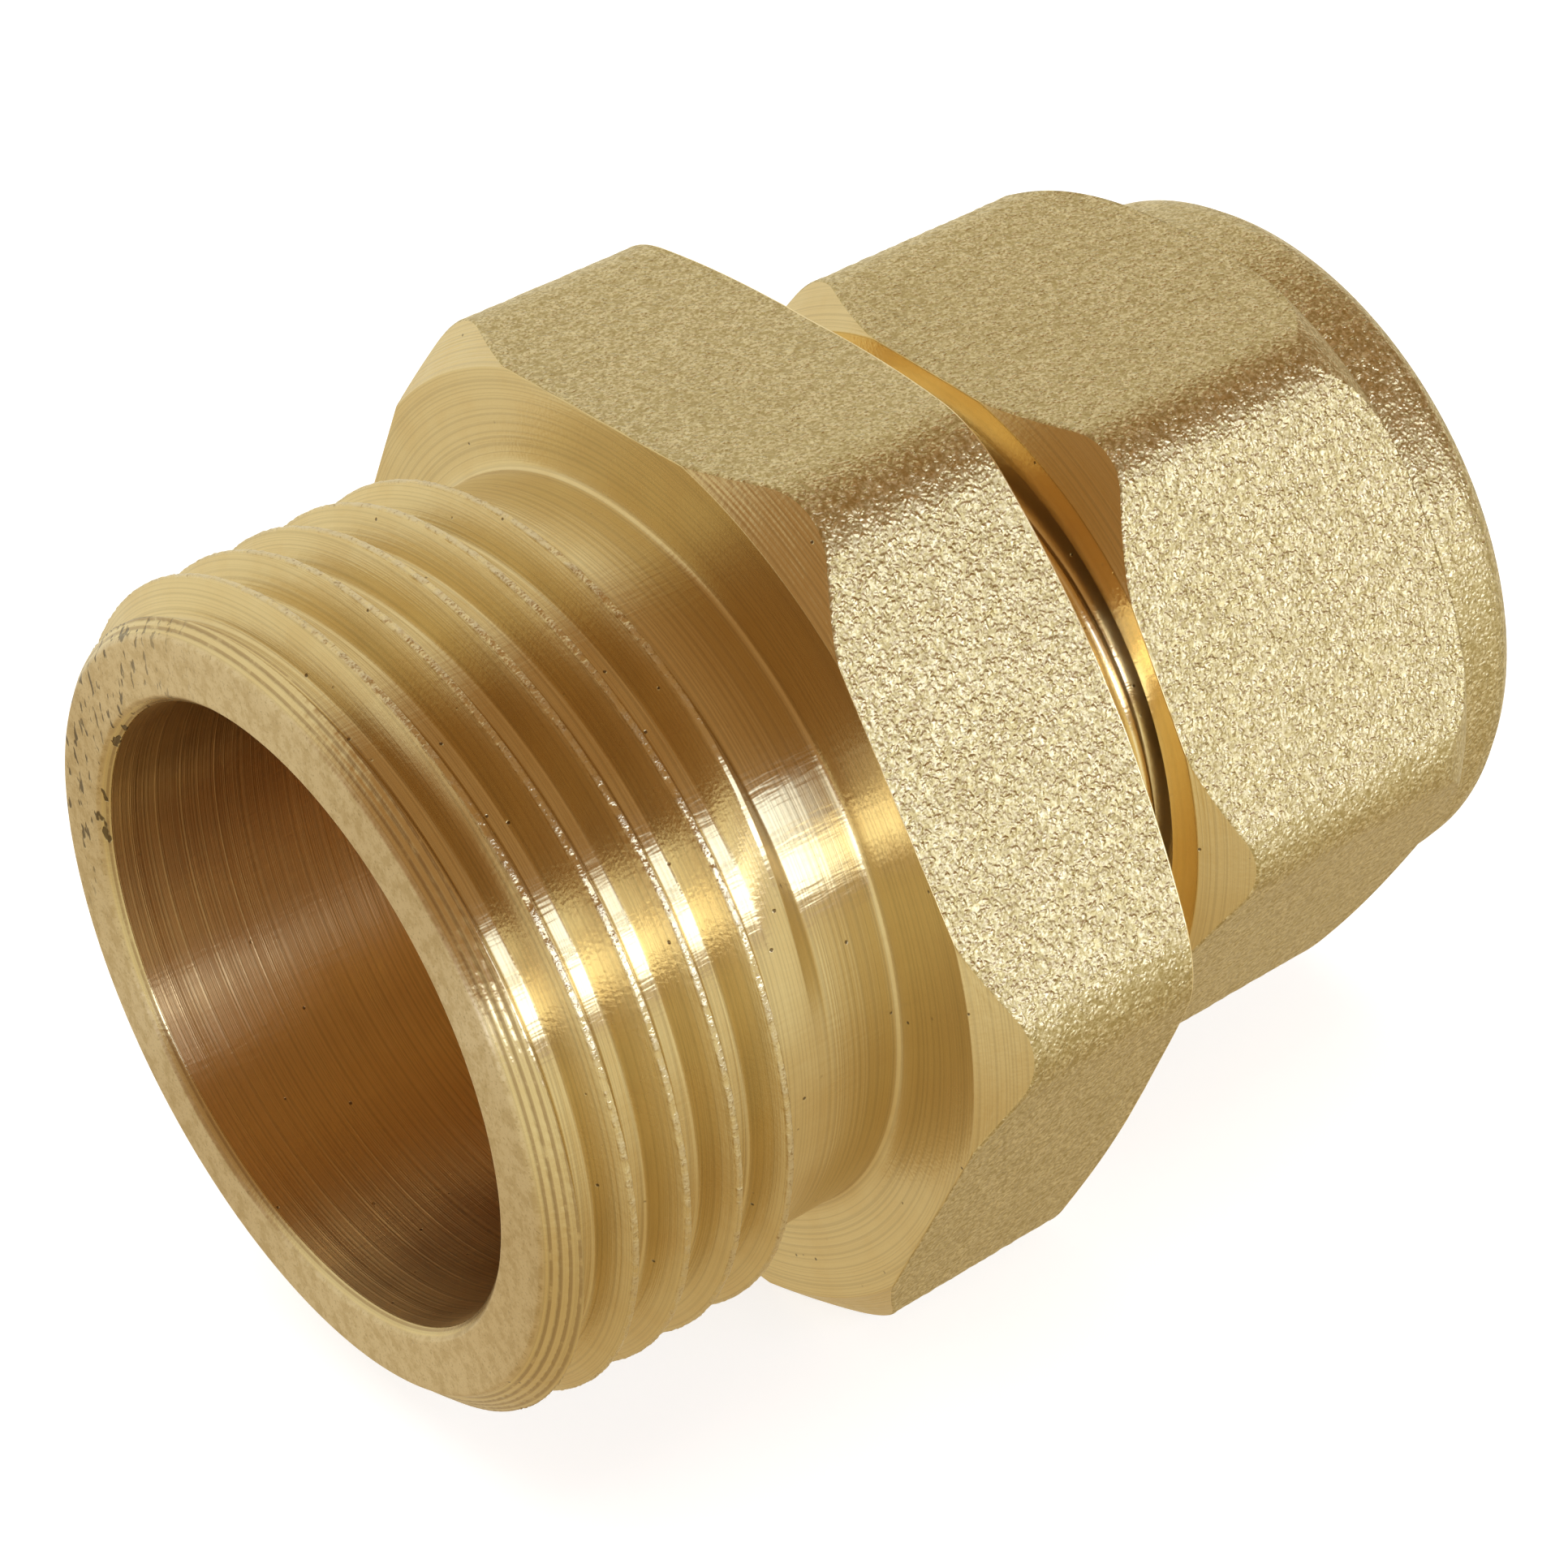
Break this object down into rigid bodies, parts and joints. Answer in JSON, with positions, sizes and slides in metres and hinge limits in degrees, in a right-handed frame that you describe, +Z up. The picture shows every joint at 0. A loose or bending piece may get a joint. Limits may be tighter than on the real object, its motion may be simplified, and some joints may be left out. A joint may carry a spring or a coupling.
{
  "type": "compression pipe union",
  "caption": "Brass straight compression union: hexagon body with a male pipe thread, and a screw-down nut with a sealing ring that grips a plain copper tube.",
  "frame": {"origin": "centre of the male end face, on the pipe axis", "axes": "+X along the pipe axis from the male end towards the tube, +Z up with the fitting lying on its hexagon flats"},
  "size_m": [0.0383, 0.033, 0.0294],
  "materials": {
    "brass_body": "turned and blasted",
    "brass_olive": "smooth",
    "brass_nut": "blasted"
  },
  "bodies": {
    "body": {"body": "brass_body"},
    "olive": {"olive": "brass_olive"},
    "nut": {"compression_nut": "brass_nut"}
  },
  "joints": [
    {"name": "olive_travel", "type": "slide", "parent": "body", "child": "olive", "axis": [1, 0, 0], "range_m": [0, 0.0073]},
    {"name": "nut_turn", "type": "hinge", "parent": "olive", "child": "nut", "pos_m": [0.02425, 0, 0], "axis": [1, 0, 0], "range_deg": [0, 1440]}
  ],
  "couplings": [
    {"joint": "olive_travel", "follows": "nut_turn", "m_per_rad": 0.00028871}
  ]
}
